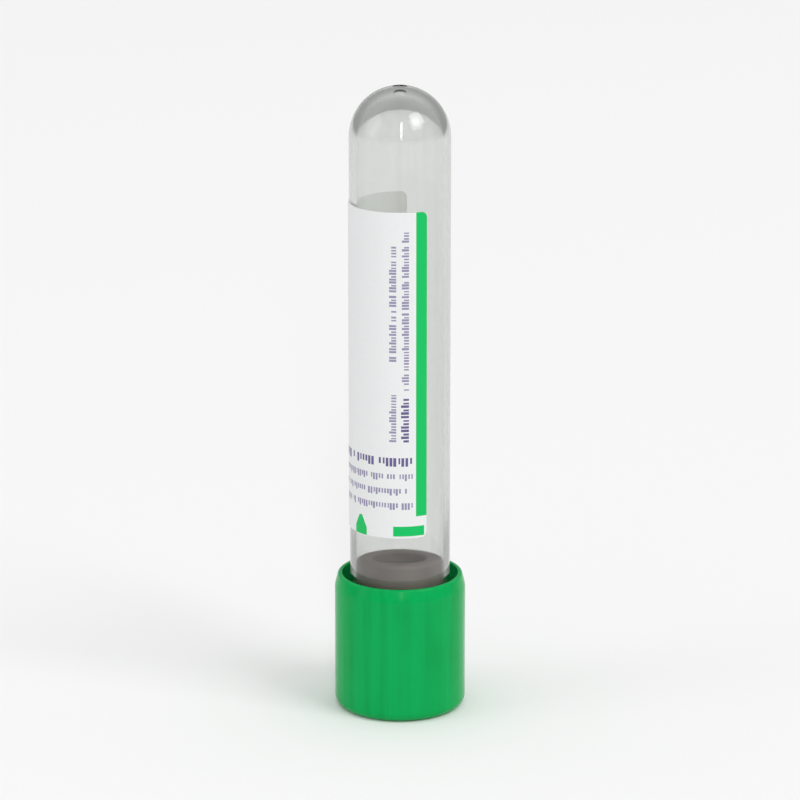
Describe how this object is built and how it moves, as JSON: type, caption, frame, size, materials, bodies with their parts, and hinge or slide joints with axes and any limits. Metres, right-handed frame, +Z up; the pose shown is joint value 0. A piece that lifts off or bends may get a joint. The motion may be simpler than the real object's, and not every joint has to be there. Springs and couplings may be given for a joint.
{
  "type": "blood collection tube",
  "caption": "Clear round-bottomed blood collection tube with a wrapped paper label and a pull-off safety closure over a rubber stopper.",
  "frame": {"origin": "on the bench surface under the middle of the closure's flat top, which the tube stands on upside down", "axes": "+Z up, along the tube from its closure to its round bottom; -Y out of the middle of the label's print side; +X completes the right-handed frame"},
  "size_m": [0.017, 0.017, 0.0824],
  "materials": {
    "clear_plastic": "gloss",
    "stopper_rubber": "matte",
    "green_plastic": "satin",
    "label_paper": "satin"
  },
  "bodies": {
    "barrel": {"tube": "clear_plastic", "label": "label_paper"},
    "closure": {"shield": "green_plastic", "stopper": "stopper_rubber"}
  },
  "joints": [
    {"name": "closure_pull", "type": "slide", "parent": "closure", "child": "barrel", "axis": [0, 0, 1], "range_m": [0, 0.03]}
  ]
}
